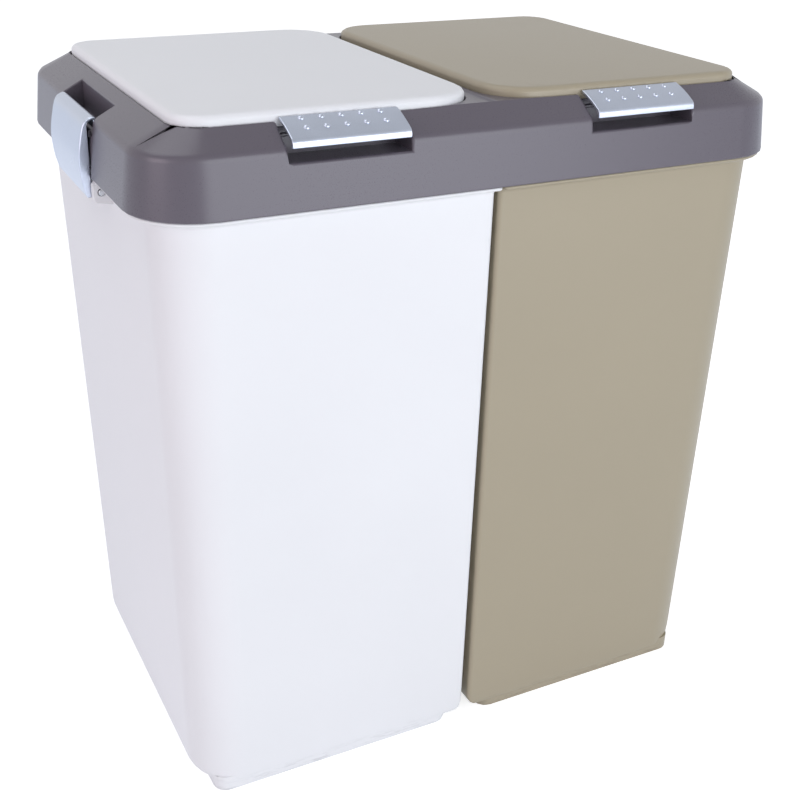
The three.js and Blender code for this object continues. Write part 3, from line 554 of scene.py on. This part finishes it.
for side in ("left", "right"):
    piece(moulding(f"{side}_latch", LATCH_EDGE_ROUND), f"{side}_latch_lever", f"{side}_latch",
          "silver_finish", silver, f"{side}_latch")

# ---- The photographer's set-up ----
# A white paper floor, a low soft box in front, others to the left and above, and a camera 0.72 m
# up that looks down on the bin from its front left.

FLOOR_REACH = 30
PAPER = (0.8, 0.8, 0.8)
PAPER_SEEN = 0.7  # the paper's own light where the camera looks at it
PAPER_MIRRORED = 0.6  # and where a gloss mirrors it
PAPER_MIRRORED_TINT = (0.84, 0.93, 1.08)
ROOM_LIGHT = 0.46
ROOM_TINT = (0.95, 0.965, 1.0)
WHITE_LIGHT = (1, 1, 1)

floor = bpy.data.meshes.new("studio floor")
bm = bmesh.new()
bmesh.ops.create_grid(bm, x_segments=1, y_segments=1, size=FLOOR_REACH)
bm.to_mesh(floor)
bm.free()
sweep = bpy.data.objects.new("studio_floor", floor)
bpy.context.scene.collection.objects.link(sweep)
paper = bpy.data.materials.new("white paper sweep")
paper.use_nodes = True
tree = paper.node_tree
shader = tree.nodes["Principled BSDF"]
shader.inputs["Base Color"].default_value = (*PAPER, 1)
shader.inputs["Roughness"].default_value = 0.9
shader.inputs["Specular IOR Level"].default_value = 0.2
path = wire(tree, "ShaderNodeLightPath")
seen = wire(tree, "ShaderNodeMath", {0: path.outputs["Is Camera Ray"], 1: PAPER_SEEN},
            operation="MULTIPLY")
lift = wire(tree, "ShaderNodeMath", {
    0: path.outputs["Is Glossy Ray"], 1: PAPER_MIRRORED, 2: seen.outputs[0],
}, operation="MULTIPLY_ADD")
cool = wire(tree, "ShaderNodeMix", {
    "Factor": path.outputs["Is Glossy Ray"], MIX_A: (*WHITE_LIGHT, 1),
    MIX_B: (*PAPER_MIRRORED_TINT, 1),
}, data_type="RGBA")
tree.links.new(cool.outputs[MIX_COLOUR], shader.inputs["Emission Color"])
tree.links.new(lift.outputs[0], shader.inputs["Emission Strength"])
floor.materials.append(paper)

world = bpy.data.worlds.new("studio")
bpy.context.scene.world = world
world.use_nodes = True
tree = world.node_tree
sky = tree.nodes["Background"]
path = wire(tree, "ShaderNodeLightPath")
tint = wire(tree, "ShaderNodeMix", {
    "Factor": path.outputs["Is Camera Ray"], MIX_A: (*ROOM_TINT, 1), MIX_B: (*WHITE_LIGHT, 1),
}, data_type="RGBA")
tree.links.new(tint.outputs[MIX_COLOUR], sky.inputs["Color"])
around = wire(tree, "ShaderNodeTexCoord")
split = wire(tree, "ShaderNodeSeparateXYZ", {"Vector": around.outputs["Generated"]})
mirrored = wire(tree, "ShaderNodeMapRange", {
    "Value": split.outputs["Z"], "From Min": 0.15, "From Max": 1.0, "To Min": 1.0, "To Max": 0.6,
})
diffuse = wire(tree, "ShaderNodeMix", {
    "Factor": path.outputs["Is Glossy Ray"], "A": ROOM_LIGHT, "B": mirrored.outputs[0],
})
level = wire(tree, "ShaderNodeMix", {
    "Factor": path.outputs["Is Camera Ray"], "A": diffuse.outputs[0], "B": 1.0,
})
tree.links.new(level.outputs[0], sky.inputs["Strength"])


def soft_box(name, place, aim, size, watts, colour):
    """A square area lamp at a place, turned to a point."""
    lamp = bpy.data.lights.new(name, "AREA")
    lamp.shape = "SQUARE"
    lamp.size = size
    lamp.energy = watts
    lamp.color = colour
    obj = bpy.data.objects.new(name, lamp)
    obj.location = place
    obj.rotation_euler = (Vector(aim) - Vector(place)).to_track_quat("-Z", "Y").to_euler()
    bpy.context.scene.collection.objects.link(obj)


soft_box("front soft box", (0.55, -2.2, 0.65), (0, 0, 0.25), 1.8, 33, (0.91, 0.955, 1.02))
soft_box("left soft box", (-2.2, -0.6, 1.0), (0, 0, 0.3), 1.2, 12.5, (1, 0.85, 0.94))
soft_box("top soft box", (-0.7, 0.5, 2.4), (0, 0, 0.4), 1.4, 11, (0.93, 0.96, 1))

CAMERA_PLACE = Vector((-0.4392, -0.8777, 0.7174))
CAMERA_AZIMUTH = radians(-27.214)
CAMERA_ELEVATION = radians(25.95)
CAMERA_ROLL = radians(1.328)
FOCAL_PIXELS = 1198.35
PICTURE_PIXELS = 800
SENSOR_WIDTH = 36

back = Vector((
    sin(CAMERA_AZIMUTH) * cos(CAMERA_ELEVATION),
    -cos(CAMERA_AZIMUTH) * cos(CAMERA_ELEVATION),
    sin(CAMERA_ELEVATION),
))
across = Vector((0, 0, 1)).cross(back).normalized()
up = back.cross(across)
turn = Matrix((across, up, back)).transposed() @ Matrix.Rotation(CAMERA_ROLL, 3, "Z")
lens = bpy.data.cameras.new("camera")
lens.sensor_width = SENSOR_WIDTH
lens.lens = FOCAL_PIXELS / PICTURE_PIXELS * SENSOR_WIDTH
camera = bpy.data.objects.new("camera", lens)
camera.matrix_world = Matrix.Translation(CAMERA_PLACE) @ turn.to_4x4()
bpy.context.scene.collection.objects.link(camera)
bpy.context.scene.camera = camera
bpy.context.scene.view_settings.view_transform = "Standard"
